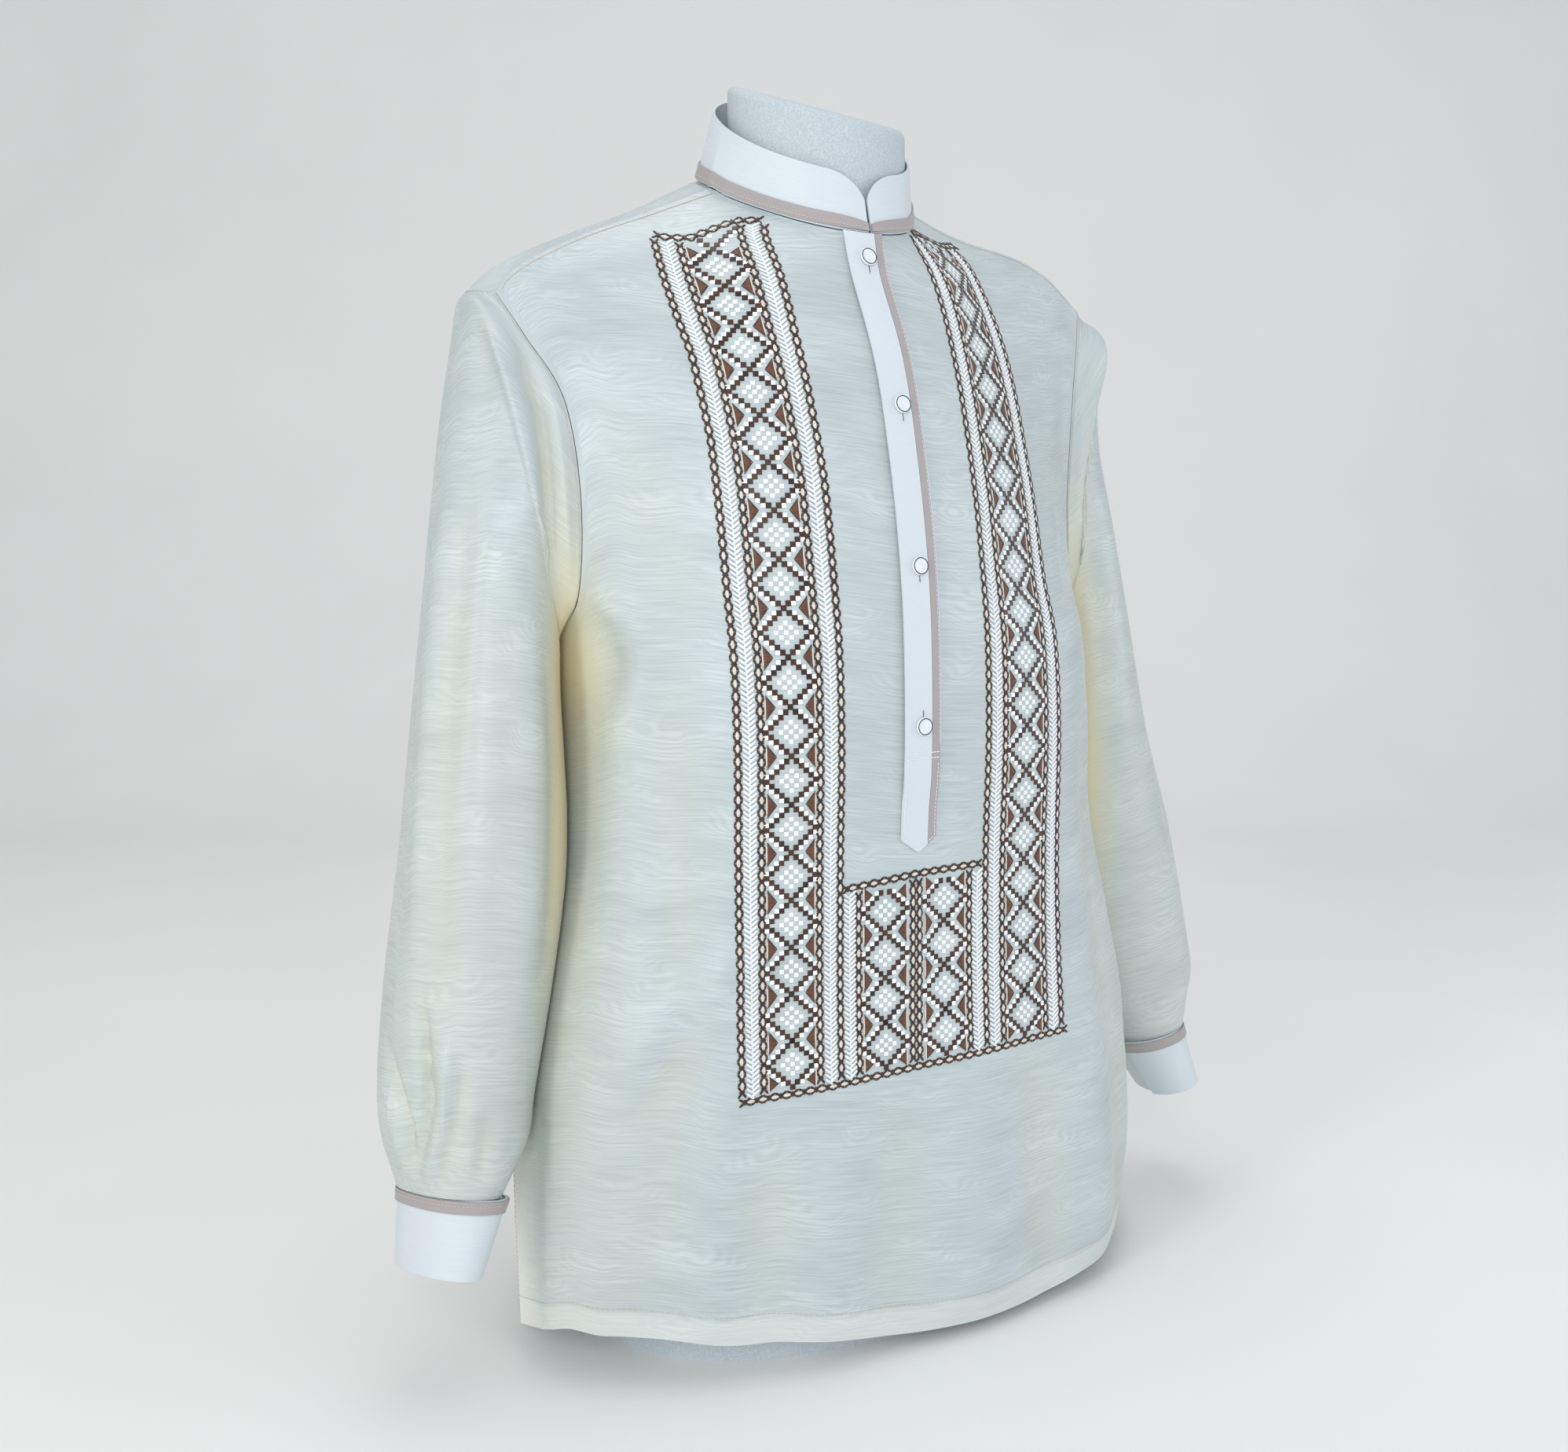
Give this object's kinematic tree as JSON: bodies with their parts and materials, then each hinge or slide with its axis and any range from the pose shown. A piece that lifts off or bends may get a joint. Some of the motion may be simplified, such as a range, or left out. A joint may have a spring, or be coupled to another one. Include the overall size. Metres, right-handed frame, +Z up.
{
  "type": "barong tagalog on a dress form",
  "caption": "sheer long-sleeved embroidered shirt with a band collar, half-length buttoned placket and band cuffs, hanging untucked on a limbless torso dress form",
  "frame": {"origin": "middle of the flat foot of the dress form, on the table", "axes": "+Z up, the front of the shirt faces -Y, the wearer's right arm is at -X"},
  "size_m": [0.6467, 0.2685, 0.8234],
  "materials": {
    "cloth": "sheer ivory organza with horizontal slubs and a watery sheen",
    "band": "lined bluish white slubbed cloth",
    "trim": "plain taupe strip",
    "form": "matt pale blue-grey, finely speckled",
    "button": "pearly with a thin dark metallic ring"
  },
  "bodies": {
    "root": {"front": "cloth", "back": "cloth", "sleeve_right": "cloth", "sleeve_left": "cloth", "cuff_right": "band", "cuff_trim_right": "trim", "cuff_left": "band", "cuff_trim_left": "trim", "collar": "band", "collar_trim": "trim", "placket_under": "band", "placket": "band", "placket_trim": "trim", "button_1": "button", "button_2": "button", "button_3": "button", "button_4": "button", "dress_form": "form"}
  },
  "joints": []
}
